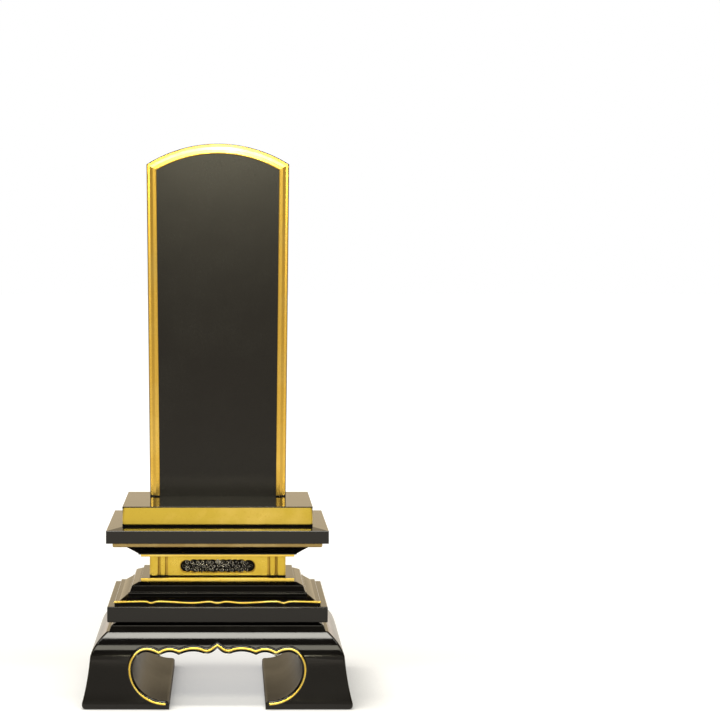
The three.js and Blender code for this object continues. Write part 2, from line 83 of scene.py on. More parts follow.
golds = {
    "goldLeaf": {
        "slot": "gold_leaf", "leaf": (0.98, 0.70, 0.13), "pale": (0.98, 0.76, 0.20),
        "deep": (0.66, 0.42, 0.06), "roughness": 0.27, "tone": 70.0, "relief": 0.012},
    "waistGold": {
        "slot": "gold_leaf", "leaf": (0.73, 0.52, 0.068), "pale": (0.80, 0.60, 0.11),
        "deep": (0.66, 0.42, 0.06), "roughness": 0.25, "tone": 110.0, "relief": 0.012},
    # darker gold on the waist's joints and on faces turned aside: painted shade
    "paintedShadeGold": {
        "slot": "gold_leaf", "leaf": (0.56, 0.36, 0.060), "pale": (0.66, 0.45, 0.09),
        "deep": (0.42, 0.25, 0.035), "roughness": 0.40, "tone": 110.0, "relief": 0.012},
    "stepGold": {
        "slot": "gold_leaf", "leaf": (0.655, 0.485, 0.073), "pale": (0.80, 0.60, 0.14),
        "deep": (0.56, 0.35, 0.045), "roughness": 0.27, "tone": 70.0, "relief": 0.012},
    "frameGold": {
        "slot": "gold_leaf", "leaf": (0.84, 0.545, 0.098), "pale": (0.93, 0.65, 0.16),
        "deep": (0.66, 0.42, 0.06), "roughness": 0.18, "tone": 45.0, "relief": 0.001},
    "giltLine": {
        "slot": "gold_leaf", "leaf": (0.90, 0.64, 0.11), "pale": (0.97, 0.78, 0.22),
        "deep": (0.72, 0.42, 0.07), "roughness": 0.26, "tone": 120.0, "relief": 0.006},
    # darker, browner gilt for the fillet under the upper slab: painted shade
    "brownGilt": {
        "slot": "brown_gilt", "leaf": (0.40, 0.29, 0.115), "pale": (0.50, 0.38, 0.17),
        "deep": (0.25, 0.16, 0.05), "roughness": 0.36, "tone": 110.0, "relief": 0.012},
}


def feed(tree, socket, value):
    # links what comes out of another node, or sets a plain number or colour
    if hasattr(value, "is_output"):
        tree.links.new(value, socket)
    else:
        socket.default_value = (*value, 1.0) if socket.type == "RGBA" else value


def newTree(name, kind, inputs, outputs):
    tree = bpy.data.node_groups.new(name, kind)
    for direction, sockets in (("INPUT", inputs), ("OUTPUT", outputs)):
        for label, socket in sockets.items():
            tree.interface.new_socket(name=label, in_out=direction,
                                      socket_type="NodeSocket" + socket)
    given = tree.nodes.new("NodeGroupInput").outputs
    result = tree.nodes.new("NodeGroupOutput").inputs
    return tree, given, result


def noiseInto(tree, place, scale, detail=3.0, roughness=0.5):
    noise = tree.nodes.new("ShaderNodeTexNoise")
    for label, value in (("Vector", place), ("Scale", scale), ("Detail", detail),
                         ("Roughness", roughness)):
        feed(tree, noise.inputs[label], value)
    return noise.outputs["Fac"]


def mathInto(tree, operation, a, b, clamp=False):
    node = tree.nodes.new("ShaderNodeMath")
    node.operation = operation
    node.use_clamp = clamp
    feed(tree, node.inputs[0], a)
    feed(tree, node.inputs[1], b)
    return node.outputs[0]


def mapInto(tree, value, low, high, toLow, toHigh):
    node = tree.nodes.new("ShaderNodeMapRange")
    for label, number in (("Value", value), ("From Min", low), ("From Max", high),
                          ("To Min", toLow), ("To Max", toHigh)):
        feed(tree, node.inputs[label], number)
    return node.outputs["Result"]


def mixInto(tree, factor, a, b, blend="MIX"):
    node = tree.nodes.new("ShaderNodeMix")
    node.data_type = "RGBA"
    node.blend_type = blend
    feed(tree, node.inputs["Factor"], factor)
    for socket, value in zip((s for s in node.inputs if s.type == "RGBA"), (a, b)):
        feed(tree, socket, value)
    return next(s for s in node.outputs if s.type == "RGBA")


surfaceOutputs = {"Colour": "Color", "Roughness": "Float", "Height": "Float"}
film = {
    "hazeAndGlintFrom": 0.42, "hazeAndGlintTo": 0.72, "hazeAndGlintCover": 0.7,
    "nibScale": 2600.0, "nibFrom": 0.60, "nibTo": 0.80, "nibRoughness": 0.05, "nibHeight": 0.05,
}


def lacquerSurfaceGroup():
    # rubbed lacquer: slow waves in the film, fine haze where a cloth has passed, dust nibs; on the
    # carving the haze colour is near white and paints highlight specks
    group, given, result = newTree("lacquerSurface", "ShaderNodeTree", {
        "Base Colour": "Color", "Haze And Glint Colour": "Color", "Roughness": "Float", "Haze": "Float",
        "Wave Scale": "Float", "Haze And Glint Scale": "Float"}, surfaceOutputs)
    place = group.nodes.new("ShaderNodeTexCoord").outputs["Object"]
    waves = noiseInto(group, place, given["Wave Scale"], 1.0)
    cloud = noiseInto(group, place, given["Haze And Glint Scale"], 4.0, 0.6)
    grain = noiseInto(group, place, film["nibScale"], 2.0)
    hazedAndGlinting = mapInto(group, cloud, film["hazeAndGlintFrom"], film["hazeAndGlintTo"], 0.0, 1.0)
    nibs = mapInto(group, grain, film["nibFrom"], film["nibTo"], 0.0, 1.0)
    # mask where the haze colour is mixed in; on the carving it places painted highlight specks
    mask = mathInto(group, "MULTIPLY", hazedAndGlinting, film["hazeAndGlintCover"])
    cloth = mathInto(group, "MULTIPLY", hazedAndGlinting, given["Haze"])
    dust = mathInto(group, "MULTIPLY", nibs, film["nibRoughness"])
    rubbed = mathInto(group, "ADD", given["Roughness"], cloth)
    raised = mathInto(group, "MULTIPLY", nibs, film["nibHeight"])
    feed(group, result["Colour"], mixInto(group, mask, given["Base Colour"], given["Haze And Glint Colour"]))
    feed(group, result["Roughness"], mathInto(group, "ADD", rubbed, dust))
    feed(group, result["Height"], mathInto(group, "ADD", waves, raised))
    return group


leafSquares = {
    "lapScale": 95.0, "lapWidth": 0.05, "lapHeight": 0.35, "paleFrom": 0.45, "paleTo": 0.70,
    "wrinkleScale": 1500.0, "wrinkleFrom": 0.58, "wrinkleTo": 0.80, "wrinkleTone": 0.7,
    "wrinkleRoughness": 0.12, "paleSmoother": 0.05,
}


def goldSurfaceGroup():
    # leaf laid in squares: slow change of tone, faint laps, fine wrinkles and rubbed spots
    group, given, result = newTree("goldSurface", "ShaderNodeTree", {
        "Leaf": "Color", "Pale": "Color", "Deep": "Color", "Roughness": "Float",
        "Tone Scale": "Float"}, surfaceOutputs)
    look = leafSquares
    place = group.nodes.new("ShaderNodeTexCoord").outputs["Object"]
    tone = noiseInto(group, place, given["Tone Scale"], 3.0, 0.55)
    wrinkles = noiseInto(group, place, look["wrinkleScale"], 3.0, 0.6)
    cells = group.nodes.new("ShaderNodeTexVoronoi")
    cells.feature = "DISTANCE_TO_EDGE"
    feed(group, cells.inputs["Vector"], place)
    feed(group, cells.inputs["Scale"], look["lapScale"])
    lap = mapInto(group, cells.outputs["Distance"], 0.0, look["lapWidth"], 1.0, 0.0)
    paler = mapInto(group, tone, look["paleFrom"], look["paleTo"], 0.0, 1.0)
    deeper = mapInto(group, wrinkles, look["wrinkleFrom"], look["wrinkleTo"],
                     0.0, look["wrinkleTone"])
    first = mixInto(group, paler, given["Leaf"], given["Pale"])
    rough = mathInto(group, "ADD", given["Roughness"],
                     mathInto(group, "MULTIPLY", wrinkles, look["wrinkleRoughness"]))
    smoother = mathInto(group, "MULTIPLY", paler, look["paleSmoother"])
    raised = mathInto(group, "MULTIPLY", lap, look["lapHeight"])
    feed(group, result["Colour"], mixInto(group, deeper, first, given["Deep"]))
    feed(group, result["Roughness"], mathInto(group, "SUBTRACT", rough, smoother))
    feed(group, result["Height"], mathInto(group, "ADD", wrinkles, raised))
    return group


lacquerSurface = lacquerSurfaceGroup()
goldSurface = goldSurfaceGroup()


def newMaterial(name):
    material = bpy.data.materials.new(name)
    material.use_nodes = True
    tree = material.node_tree
    return material, tree, tree.nodes["Principled BSDF"]


def surfaceMaterial(name, group, values, relief):
    material, tree, shader = newMaterial(name)
    surface = tree.nodes.new("ShaderNodeGroup")
    surface.node_tree = group
    for label, value in values.items():
        feed(tree, surface.inputs[label], value)
    bump = tree.nodes.new("ShaderNodeBump")
    feed(tree, bump.inputs["Distance"], relief * mm)
    feed(tree, bump.inputs["Strength"], 1.0)
    feed(tree, bump.inputs["Height"], surface.outputs["Height"])
    feed(tree, shader.inputs["Base Color"], surface.outputs["Colour"])
    feed(tree, shader.inputs["Roughness"], surface.outputs["Roughness"])
    feed(tree, shader.inputs["Normal"], bump.outputs["Normal"])
    return material, shader


def lacquerMaterial(name, look):
    material, shader = surfaceMaterial(name, lacquerSurface, {
        "Base Colour": look["colour"], "Haze And Glint Colour": look["hazeAndGlint"],
        "Roughness": look["roughness"], "Haze": look["hazedAndGlinting"], "Wave Scale": look["waves"],
        "Haze And Glint Scale": look.get("hazeAndGlintScale", 42.0)}, look["waveDepth"])
    shader.inputs["IOR"].default_value = look.get("ior", 1.45)
    shader.inputs["Metallic"].default_value = look.get("metallic", 0.0)
    return material


def goldMaterial(name, look):
    material, shader = surfaceMaterial(name, goldSurface, {
        "Leaf": look["leaf"], "Pale": look["pale"], "Deep": look["deep"],
        "Roughness": look["roughness"], "Tone Scale": look["tone"]}, look["relief"])
    shader.inputs["Metallic"].default_value = 1.0
    return material


(blackLacquer, panelLacquer, innerLacquer, dullShadedLacquer, carvedLacquer, carvedGround) = [
    lacquerMaterial(name, look) for name, look in lacquers.items()]
(goldLeaf, waistGold, paintedShadeGold, stepGold, frameGold, giltLine, brownGilt) = [
    goldMaterial(name, look) for name, look in golds.items()]
print("materials made")


def newObject(name, mesh):
    piece = bpy.data.objects.new(name, mesh)
    scene.collection.objects.link(piece)
    return piece


def newMesh(name, points, edges=(), faces=()):
    mesh = bpy.data.meshes.new(name)
    mesh.from_pydata([(x * mm, y * mm, z * mm) for x, y, z in points], edges, faces)
    return mesh


def shadeByAngle(mesh, angle=38):
    mesh.polygons.foreach_set("use_smooth", [True] * len(mesh.polygons))
    mesh.set_sharp_from_angle(angle=radians(angle))
    mesh.update()


def meshPiece(name, points, faces, material):
    mesh = newMesh(name, points, [], faces)
    mesh.validate()
    mesh.materials.append(material)
    shadeByAngle(mesh)
    return newObject(name, mesh)


def evenNormals(piece):
    modifier = piece.modifiers.new("evenNormals", "WEIGHTED_NORMAL")
    modifier.weight = 100
    modifier.keep_sharp = True


def appliedMesh(piece):
    # the mesh as the modifiers leave it
    bpy.context.view_layer.update()
    depsgraph = bpy.context.evaluated_depsgraph_get()
    return bpy.data.meshes.new_from_object(piece.evaluated_get(depsgraph))


def paintFaces(piece, material, chosen):
    # a second material on the faces that are chosen
    piece.data.materials.append(material)
    for face in piece.data.polygons:
        if chosen(face):
            face.material_index = 1


def addBevel(piece, width, angle):
    edge = piece.modifiers.new("edge", "BEVEL")
    edge.width = width * mm
    edge.segments = 3
    edge.limit_method = "ANGLE"
    edge.angle_limit = radians(angle)


def cutThrough(name, block, cutter, bevel, angle):
    # takes the cutter out of the block and softens the edges
    block.modifiers.clear()
    cut = block.modifiers.new("opening", "BOOLEAN")
    cut.operation = "DIFFERENCE"
    cut.solver = "EXACT"
    cut.object = cutter
    addBevel(block, bevel, angle)
    mesh = appliedMesh(block)
    for used in (block, cutter):
        bpy.data.objects.remove(used)
    return newObject(name, mesh)


def signedVolume(points, faces):
    total = 0.0
    for face in faces:
        a = Vector(points[face[0]])
        for i in range(1, len(face) - 1):
            total += a.dot(Vector(points[face[i]]).cross(Vector(points[face[i + 1]])))
    return total


def loftPiece(name, rings, material):
    # closed solid through rings of equal length, with a flat face at each end
    count = len(rings[0])
    points = [point for ring in rings for point in ring]
    faces = []
    for level in range(len(rings) - 1):
        start = level * count
        for i in range(count):
            j = (i + 1) % count
            faces.append((start + i, start + j, start + j + count, start + i + count))
    last = (len(rings) - 1) * count
    faces.append(tuple(reversed(range(count))))
    faces.append(tuple(last + i for i in range(count)))
    if signedVolume(points, faces) < 0:
        faces = [tuple(reversed(face)) for face in faces]
    piece = meshPiece(name, points, faces, material)
    evenNormals(piece)
    return piece


def platePiece(name, line, ys, material):
    # upright plate with an outline of (x, z) points, from one y to the other
    return loftPiece(name, [[(x, y, z) for x, z in line] for y in ys], material)


def softenLine(points, radii, steps=4, closed=False):
    # rounds the corners of a line of (a, b) points, each by its own radius
    count = len(points)
    result = []
    for i, point in enumerate(points):
        corner = Vector(point)
        radius = radii[i]
        if radius == 0 or (not closed and i in (0, count - 1)):
            result.append(tuple(corner))
            continue
        before = Vector(points[i - 1]) - corner
        after = Vector(points[(i + 1) % count]) - corner
        reach = min(radius / max(tan(before.angle(after) / 2), 0.05), 0.45 * before.length,
                    0.45 * after.length)
        start = corner + before.normalized() * reach
        end = corner + after.normalized() * reach
        result += quadratic(start, corner, end, steps)
    return result


def quadratic(start, control, end, steps):
    a, b, c = Vector(start), Vector(control), Vector(end)
    line = []
    for i in range(steps + 1):
        t = i / steps
        line.append(tuple(a * (1 - t) ** 2 + b * (2 * t * (1 - t)) + c * t ** 2))
    return line


def roundedProfile(points, steps=5):
    # each point carries its own rounding as a third number
    return softenLine([(a, b) for a, b, _ in points], [rounding for _, _, rounding in points],
                      steps)


def roundedRing(left, right, front, back, z, radius, steps=4):
    points = []
    for quarter, (x, y) in enumerate(((right, back), (left, back), (left, front), (right, front))):
        centreX = x - radius if x == right else x + radius
        centreY = y - radius if y == back else y + radius
        for step in range(steps + 1):
            angle = (quarter + step / steps) * pi / 2
            points.append((centreX + radius * cos(angle), centreY + radius * sin(angle), z))
    return points


def distanceTo(point, a, b):
    run = b - a
    t = max(0.0, min(1.0, (point - a).dot(run) / max(run.length_squared, 1e-9)))
    return (point - a - run * t).length


def distanceToLine(point, line):
    return min(distanceTo(Vector(point), Vector(a), Vector(b)) for a, b in zip(line, line[1:]))


def mirrored(half):
    # the right half and its mirror image as one line, from right to left
    return half + [(-x, z) for x, z in reversed(half[:-1])]


def nodeBox(node):
    low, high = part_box(node)
    return low / mm, high / mm


def stand(piece, body, *nodes):
    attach(piece, body)
    if nodes:
        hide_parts(*nodes)


def tierPiece(name, node, profile, material, hipRadius=0.25):
    # profile: (inwards from the node's box, height over its bottom), from below
    low, high = nodeBox(node)
    rings = [roundedRing(low.x + inwards, high.x - inwards, low.y + inwards, high.y - inwards,
                         low.z + height, hipRadius) for inwards, height in profile]
    piece = loftPiece(name, rings, material)
    stand(piece, "pedestal", node)
    return piece


def boardProfile(node, arris, foot=None):
    low, high = nodeBox(node)
    height = high.z - low.z
    under = arris if foot is None else foot
    return softenLine([(under * 2, 0), (0, 0), (0, height), (arris * 2, height)],
                      [0, under, arris, 0])


base = {
    "raised": 0.25,           # hidden inside the neck
    "footRounding": (1.1, 1.65), "footTop": 2.2,
    "flareSetIn": 2.9, "flareCurveSetIn": 2.05,
    "shoulderHeight": 8.2, "shoulderCurveSetIn": 4.2, "shoulderCurveDrop": 3.57,
    "shoulderTopSetIn": 8.8, "topSetIn": 9.6, "hipRadius": 0.8,
    "toeTip": 17.8, "toeThickness": 3.3, "toeRounding": 1.2, "toeRun": 1.3,
    "hollow": 31.4, "hollowHeight": 11.5, "upperHollowWidth": 5.0, "upperHollowHeight": 6.0,
    # apron line from the hollow in to the peak: bulge of the arc, then where it ends
    "apron": ((0.0, (21.7, -1.5)), (1.1, (14.3, -1.0)), (0.9, (6.0, -0.15)), (-1.5, (0.0, 1.3))),
    "cutBevel": 0.3, "cutReach": 45.0, "wallReach": 0.12,
}
baseLow, baseHigh = nodeBox("base_block")
baseHeight = baseHigh.z + base["raised"]


def baseProfile():
    width, height = base["footRounding"]
    shoulderZ = baseHeight - base["shoulderHeight"]
    foot = []
    for i in range(7):
        angle = i / 6 * pi / 2
        foot.append((width - width * sin(angle), height * (1 - cos(angle))))
    flare = quadratic((0, base["footTop"]), (base["flareCurveSetIn"], shoulderZ / 2),
                      (base["flareSetIn"], shoulderZ), 14)
    shoulder = quadratic((base["flareSetIn"], shoulderZ),
                         (base["shoulderCurveSetIn"], baseHeight - base["shoulderCurveDrop"]),
                         (base["shoulderTopSetIn"], baseHeight), 26)
    return foot + flare + shoulder[1:] + [(base["topSetIn"], baseHeight)]


def halfOpening():
    # right half of the leg opening, from the toe up and in to the peak in the middle
    hollowZ = base["toeThickness"] + base["hollowHeight"]
    apronZ = hollowZ + base["upperHollowHeight"]
    toeTop = base["toeTip"] + base["toeRun"]
    line = [(base["toeTip"], -3.0)]
    line += quadratic((base["toeTip"], base["toeThickness"] - base["toeRounding"]),
                      (base["toeTip"], base["toeThickness"]), (toeTop, base["toeThickness"]), 6)
    for i in range(1, 29):
        angle = -pi / 2 + i / 28 * pi / 2
        line.append((toeTop + (base["hollow"] - toeTop) * cos(angle),
                     hollowZ + base["hollowHeight"] * sin(angle)))
    for i in range(1, 17):
        angle = i / 16 * pi / 2
        line.append((base["hollow"] - base["upperHollowWidth"] * (1 - cos(angle)),
                     hollowZ + base["upperHollowHeight"] * sin(angle)))
    for bulge, (endX, endRise) in base["apron"]:
        start = line[-1]
        control = ((start[0] + endX) / 2, apronZ + bulge)
        line += quadratic(start, control, (endX, apronZ + endRise), 12)[1:]
    return line


def setInAt(z):
    profile = baseProfile()
    for (inA, zA), (inB, zB) in zip(profile, profile[1:]):
        if zA <= z <= zB and zB > zA:
            return inA + (inB - inA) * (z - zA) / (zB - zA)
    return profile[-1][0]


def buildBase():
    rings = [roundedRing(baseLow.x + setIn, baseHigh.x - setIn, baseLow.y + setIn,
                         baseHigh.y - setIn, z, base["hipRadius"], 6)
             for setIn, z in baseProfile()]
    block = loftPiece("catLegBlock", rings, blackLacquer)
    half = halfOpening()
    cutter = platePiece("legOpening", mirrored(half), (-base["cutReach"], base["cutReach"]),
                        blackLacquer)
    piece = cutThrough("cat_leg_base", block, cutter, base["cutBevel"], 40)

    def onWall(face):
        middle = face.center / mm
        return (abs(face.normal.y) < 0.15
                and distanceToLine((abs(middle.x), middle.z), half) < base["wallReach"])

    # the opening's inner walls take the paler lacquer: painted reflected light
    paintFaces(piece, innerLacquer, onWall)
    shadeByAngle(piece.data)
    evenNormals(piece)
    stand(piece, "pedestal", "base_block")


buildBase()
print("base cut")


def rodInto(tree, curve, radius, sides, scale, finish):
    # sweeps a round section along the curve, as real geometry with its material
    section = tree.nodes.new("GeometryNodeCurvePrimitiveCircle")
    feed(tree, section.inputs["Radius"], radius)
    feed(tree, section.inputs["Resolution"], sides)
    sweep = tree.nodes.new("GeometryNodeCurveToMesh")
    for label, value in (("Curve", curve), ("Profile Curve", section.outputs["Curve"]),
                         ("Scale", scale), ("Fill Caps", True)):
        feed(tree, sweep.inputs[label], value)
    smooth = tree.nodes.new("GeometryNodeSetShadeSmooth")
    feed(tree, smooth.inputs["Geometry"], sweep.outputs["Mesh"])
    real = tree.nodes.new("GeometryNodeRealizeInstances")
    feed(tree, real.inputs["Geometry"], smooth.outputs["Geometry"])
    paint = tree.nodes.new("GeometryNodeSetMaterial")
    feed(tree, paint.inputs["Geometry"], real.outputs["Geometry"])
    feed(tree, paint.inputs["Material"], finish)
    return paint.outputs["Geometry"]


def pathTree():
    # turns the edges it is given into a rod
    tree, given, result = newTree("rodAlongPath", "GeometryNodeTree", {
        "Path": "Geometry", "Radius": "Float", "Sides": "Int", "Finish": "Material"},
        {"Rod": "Geometry"})
    toCurve = tree.nodes.new("GeometryNodeMeshToCurve")
    feed(tree, toCurve.inputs["Mesh"], given["Path"])
    feed(tree, result["Rod"], rodInto(tree, toCurve.outputs["Curve"], given["Radius"],
                                      given["Sides"], 1.0, given["Finish"]))
    return tree


def runTree(name, tree, points, edges, values):
    # runs the tree on the points and keeps its result as a plain mesh
    start = newObject(name + "Start", newMesh(name + "Start", points, edges))
    modifier = start.modifiers.new("build", "NODES")
    modifier.node_group = tree
    for item in tree.interface.items_tree:
        if item.item_type == "SOCKET" and item.in_out == "INPUT" and item.name in values:
            modifier[item.identifier] = values[item.name]
    mesh = appliedMesh(start)
    bpy.data.objects.remove(start)
    mesh.name = name
    return newObject(name, mesh)


rodAlongPath = pathTree()
bead = {
    "fromEdge": 1.08,         # middle of the bead, measured from the cut edge
    "radius": 1.12, "sunk": 0.68, "sides": 20,
    "lineRadius": 0.45, "lineLift": 0.12, "lineSides": 14,
    "cuspClearance": 0.985,
}


def shiftedLine(half, distance):
    # line moved sideways into the wood, without the points that would cross at a cusp
    moved = []
    for i, point in enumerate(half):
        before = Vector(half[max(i - 1, 0)])
        after = Vector(half[min(i + 1, len(half) - 1)])
        along = (after - before).normalized()
        moved.append(Vector(point) + Vector((along.y, -along.x)) * distance)
    moved[-1] = Vector(half[-1]) + Vector((0, distance))
    return [tuple(point) for point in moved
            if distanceToLine(point, half) > distance * bead["cuspClearance"]]


def layRod(name, line, depth, radius, sides, material):
    # along the front of the base, so far behind its face
    points = [(x, baseLow.y + setInAt(z) + depth, z) for x, z in line]
    rod = runTree(name, rodAlongPath, points, [(i, i + 1) for i in range(len(points) - 1)],
                  {"Radius": radius * mm, "Sides": sides, "Finish": material})
    stand(rod, "pedestal")


def buildBead():
    half = [point for point in halfOpening() if point[1] >= base["toeThickness"] - 1e-6]
    line = mirrored(shiftedLine(half, bead["fromEdge"]))
    layRod("leg_bead", line, bead["sunk"], bead["radius"], bead["sides"], blackLacquer)
    layRod("leg_gilt_line", line, -bead["lineLift"], bead["lineRadius"], bead["lineSides"],
           giltLine)


buildBead()
print("bead laid")

neck = {
    "profile": ((0, 0, 0), (0, 0.15, 0.1), (0.8, 2.35, 0.9), (2.6, 3.0, 0.6), (3.0, 3.05, 0.1),
                (3.0, 3.6, 0)),
}
tierPiece("neck", "neck_moulding", roundedProfile(neck["profile"]), blackLacquer)

lowerSlab = {"arris": 0.55}
tierPiece("slab_lower", "lower_slab", boardProfile("lower_slab", lowerSlab["arris"]),
          blackLacquer)

skirt = {
    # in at the sides and back, in at the front, height over the bottom
    "rings": ((0, 0, 0), (0, 0, 1.05), (0.15, 0, 1.2), (1.6, 0, 1.23), (1.8, 0.12, 1.4)),
    "top": (4.75, 3.05), "hipRadius": 0.1,
}


def buildSkirt():
    # the ledge runs round the sides and back, the front of it is left to the gilt strip
    low, high = nodeBox("skirt_moulding")
    rings = [roundedRing(low.x + side, high.x - side, low.y + front, high.y - side, low.z + z,
                         skirt["hipRadius"])
             for side, front, z in (*skirt["rings"], (*skirt["top"], high.z - low.z))]
    stand(loftPiece("skirt", rings, blackLacquer), "pedestal", "skirt_moulding")


buildSkirt()

wave = {
    "thickness": 0.68, "depth": 1.62, "lift": 0.82, "rounding": 0.22,
    # (x, height) of the line's crests and dips, from the middle and from the end
    "middle": ((0, -0.3), (3.4, 0.22), (9.7, -0.27)),
    "end": ((17.2, 0.3), (13.8, -0.3), (10.8, 0.3), (0, 0)),
}


def smoothThrough(points, perSpan=10):
    # Catmull-Rom line through (x, z) points
    line = []
    for i in range(len(points) - 1):
        p = [Vector(points[min(max(j, 0), len(points) - 1)]) for j in (i - 1, i, i + 1, i + 2)]
        for step in range(perSpan):
            t = step / perSpan
            line.append(tuple(0.5 * ((2 * p[1]) + (p[2] - p[0]) * t
                                     + (2 * p[0] - 5 * p[1] + 4 * p[2] - p[3]) * t ** 2
                                     + (3 * p[1] - p[0] - 3 * p[2] + p[3]) * t ** 3)))
    line.append(tuple(points[-1]))
    return line


def buildWaveStrip():
    low, high = nodeBox("wave_strip")
    half = list(wave["middle"]) + [(high.x - x, z) for x, z in wave["end"]]
    line = smoothThrough([(-x, z) for x, z in reversed(half[1:])] + half)
    depth, thickness, rounding = wave["depth"], wave["thickness"], wave["rounding"]
    section = softenLine([(0, 0), (depth, 0), (depth, thickness), (0, thickness)],
                         [rounding, 0, 0, rounding], 3, True)
    bottom = nodeBox("skirt_moulding")[0].z + wave["lift"]
    rings = [[(x, low.y + back, bottom + z + up) for back, up in section] for x, z in line]
    stand(loftPiece("gilt_wave", rings, giltLine), "pedestal", "wave_strip")


buildWaveStrip()

shoulder = {
    "profile": ((0.15, 0, 0), (0.15, 0.42, 0.12), (0.7, 0.55, 0.25), (1.55, 2.9, 0.5),
                (3.95, 3.9, 0.2), (4.3, 3.95, 0)),
}
tierPiece("shoulder", "shoulder_moulding", roundedProfile(shoulder["profile"]), blackLacquer)
print("lower tiers done")

giltBoard = {"arris": 0.18, "hipRadius": 0.15, "giltDepth": 0.12}


def giltFronted(name, node):
    # thin black board, gilt on its front edge only
    board = tierPiece(name, node, boardProfile(node, giltBoard["arris"]), blackLacquer,
                      giltBoard["hipRadius"])
    front = (nodeBox(node)[0].y + giltBoard["giltDepth"]) * mm
    paintFaces(board, goldLeaf,
               lambda face: face.center.y < front and abs(face.normal.z) < 0.8)


giltFronted("edge_board_lower", "lower_gilt_board")
giltFronted("edge_board_upper", "upper_gilt_board")

waist = {
    "blockRounding": 0.9, "ribRounding": 1.1, "foot": 0.2, "gap": 0.4,
    "coreHalf": 25.85, "fill": 10.25, "fillFrom": 18.7,
    "shadeTurn": 0.45,            # faces turned this far aside get painted shade, like the joints
}


def blockPiece(name, node, rounding, bothSides):
    # upright block, its front corners rounded and its foot drawn in
    low, high = nodeBox(node)
    section = softenLine([(low.x, high.y), (low.x, low.y), (high.x, low.y), (high.x, high.y)],
                         [0, rounding, rounding, 0], 5, True)
    middleX, bottom, foot = (low.x + high.x) / 2, low.z + waist["gap"], waist["foot"]
    rings = []
    for inwards, z in ((foot, bottom), (foot * 0.3, bottom + foot * 0.3), (0, bottom + foot),
                       (0, high.z)):
        rings.append([(x + (inwards if x < middleX else -inwards),
                       y + inwards * (y < high.y - 0.01), z) for x, y in section])
    piece = loftPiece(name, rings, waistGold)
    panelwards = 1 if middleX < 0 else -1
    # faces turned aside take the darker gold: painted shade
    paintFaces(piece, paintedShadeGold, lambda face: waist["shadeTurn"] < (
        abs(face.normal.x) if bothSides else face.normal.x * panelwards))
    stand(piece, "pedestal", node)


def buildWaistBody():
    # black behind and at the sides, gilt with painted shade in front where the joints show
    low, high = nodeBox("waist_core")
    half, step, fill = waist["coreHalf"], waist["fillFrom"], -waist["fill"]
    plan = [(half, high.y), (-half, high.y), (-half, fill), (-step, fill), (-step, low.y),
            (step, low.y), (step, fill), (half, fill)]
    rings = [[(x, y, z) for x, y in plan] for z in (low.z, low.z + waist["gap"], high.z)]
    body = loftPiece("waist_body", rings, blackLacquer)
    foot = (low.z + waist["gap"] + 0.1) * mm
    paintFaces(body, paintedShadeGold, lambda face: face.normal.y < -0.6 and face.center.z > foot)
    stand(body, "pedestal", "waist_core")


for side in ("left", "right"):
    blockPiece("pier_" + side, "waist_corner_" + side, waist["blockRounding"], False)
    blockPiece("rib_" + side, "waist_rib_" + side, waist["ribRounding"], True)
buildWaistBody()

inset = {
    "marginSide": 4.5, "marginBelow": 1.45, "marginAbove": 1.85, "lobe": 2.4,
    "notchFromLobe": 1.45, "notch": 0.45, "pointWidth": 0.9, "pointRise": 0.7,
    "scallops": 4, "scallopDepth": 0.24, "scallopFrom": 0.6, "pointEdge": 0.1,
    "gap": 0.3, "lip": 0.22, "groundFront": 0.45, "groundBack": 0.05,
}
panelLow, panelHigh = nodeBox("waist_panel")


def scallops(startX, endX, z, rise):
    # small arcs side by side, meeting in cusps
    count = inset["scallops"]
    steps = [i / (count * 8) for i in range(count * 8 + 1)]
    return [(startX + (endX - startX) * t, z + rise * abs(sin(t * count * pi))) for t in steps]


def insetOutline(shrink):
    notch, point, depth = inset["notch"], inset["pointWidth"], inset["scallopDepth"]
    bottom = panelLow.z + inset["marginBelow"] + shrink
    top = panelHigh.z - inset["marginAbove"] - shrink
    lobeX = panelHigh.x - inset["marginSide"] - shrink - inset["lobe"]
    notchX = lobeX - inset["notchFromLobe"]
    half = [(0, bottom)] + scallops(inset["scallopFrom"], notchX - notch, bottom, -depth)
    half += quadratic((notchX, bottom + notch), (notchX, bottom), (lobeX, bottom), 6)
    for i in range(1, 25):
        angle = -pi / 2 + i / 24 * pi
        half.append((lobeX + inset["lobe"] * cos(angle),
                     (bottom + top) / 2 + (top - bottom) / 2 * sin(angle)))
    half += quadratic((lobeX, top), (notchX, top), (notchX, top - notch), 6)[1:]
    half += scallops(notchX - notch, point + inset["pointEdge"], top, depth)
    half += quadratic((point, top), (0, top), (0, top + inset["pointRise"]), 6)
    return half + [(-x, z) for x, z in reversed(half[1:-1])]


def buildWaistPanel():
    left, right, bottom, top = panelLow.x, panelHigh.x, panelLow.z + waist["gap"], panelHigh.z
    block = platePiece("panelBlock", [(left, bottom), (right, bottom), (right, top), (left, top)],
                       (panelLow.y, panelHigh.y), waistGold)
    hole = platePiece("panelHole", insetOutline(0), (panelLow.y - 1, panelHigh.y + 1), waistGold)
    piece = cutThrough("waist_front", block, hole, inset["lip"], 50)
    shadeByAngle(piece.data)
    evenNormals(piece)
    stand(piece, "pedestal", "waist_panel")


buildWaistPanel()
carvingLow, carvingHigh = nodeBox("waist_carving")
# the ground behind the scrolls is darkened: painted shade in the recess
ground = platePiece("carving_ground", insetOutline(inset["gap"]),
                    (carvingLow.y + inset["groundFront"], carvingHigh.y - inset["groundBack"]),
                    carvedGround)
stand(ground, "pedestal", "waist_carving")

carving = {
    "rowLength": 22.6, "perRow": 13, "rowRise": 1.38, "depth": 0.42,
    "rowShift": {-1: -0.2, 0: 0.4, 1: -0.2},
    "ends": 12.5, "endDepth": 0.38, "crownRise": 1.9, "crownDepth": 0.3,
    "scroll": 0.98, "core": 0.14, "turns": 1.1, "stem": 0.32, "tip": 0.18, "seed": 4,
    "tilt": 0.3, "smallest": 0.82, "largest": 1.08,
}


